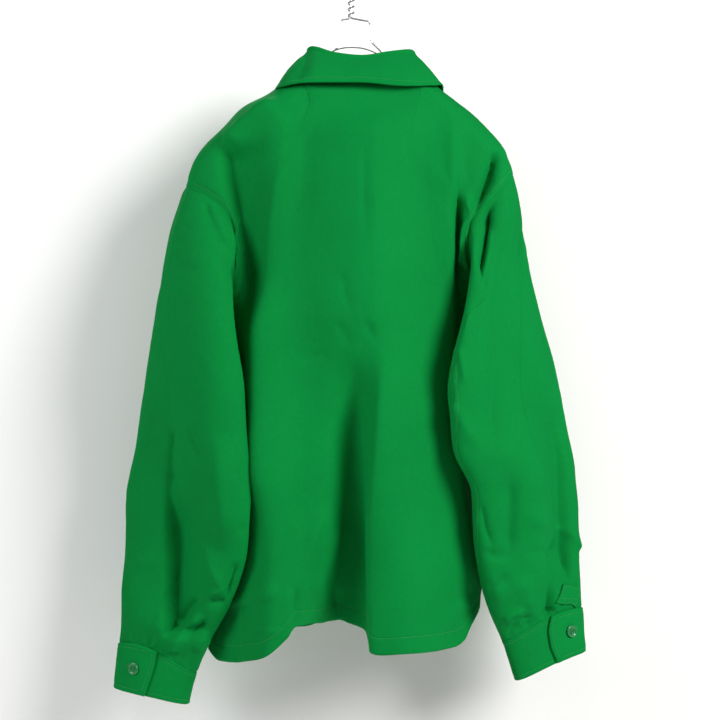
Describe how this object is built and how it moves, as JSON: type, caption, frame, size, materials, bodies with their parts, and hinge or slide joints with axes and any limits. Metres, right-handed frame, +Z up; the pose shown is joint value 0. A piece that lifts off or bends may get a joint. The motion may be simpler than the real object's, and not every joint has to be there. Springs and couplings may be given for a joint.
{
  "type": "harrington jacket on a wire hanger",
  "caption": "Unlined green cotton-twill zip jacket with a turned-down collar and buttoned cuffs, hung on a thin wire hanger.",
  "frame": {"origin": "inner top of the hanger's hook, where a rail touches it", "axes": "+Z up, the front of the jacket faces -Y, the wearer's left is +X"},
  "size_m": [0.5847, 0.1857, 0.9183],
  "materials": {
    "twill": "matte cotton twill",
    "button": "polished, tonal",
    "zip_tape": "woven tape",
    "zip_chain": "moulded teeth",
    "zip_metal": "satin nickel",
    "hanger_wire": "plated wire"
  },
  "bodies": {
    "root": {"back": "twill", "front_left": "twill", "front_right": "twill", "sleeve_left": "twill", "sleeve_right": "twill", "cuff_left": "twill", "cuff_right": "twill", "placket_right": "twill", "collar": "twill", "button_left": "button", "button_right": "button", "zip_tape_left": "zip_tape", "zip_tape_right": "zip_tape", "zip_chain": "zip_chain", "zip_slider": "zip_metal", "hanger": "hanger_wire", "hanger_brace": "hanger_wire"},
    "pull_tab": {"zip_pull": "zip_metal"}
  },
  "joints": [
    {"name": "pull_tab_swing", "type": "hinge", "parent": "root", "child": "pull_tab", "pos_m": [-0.0111, -0.063, -0.2346], "axis": [-1, 0, 0], "range_deg": [0, 150]}
  ]
}
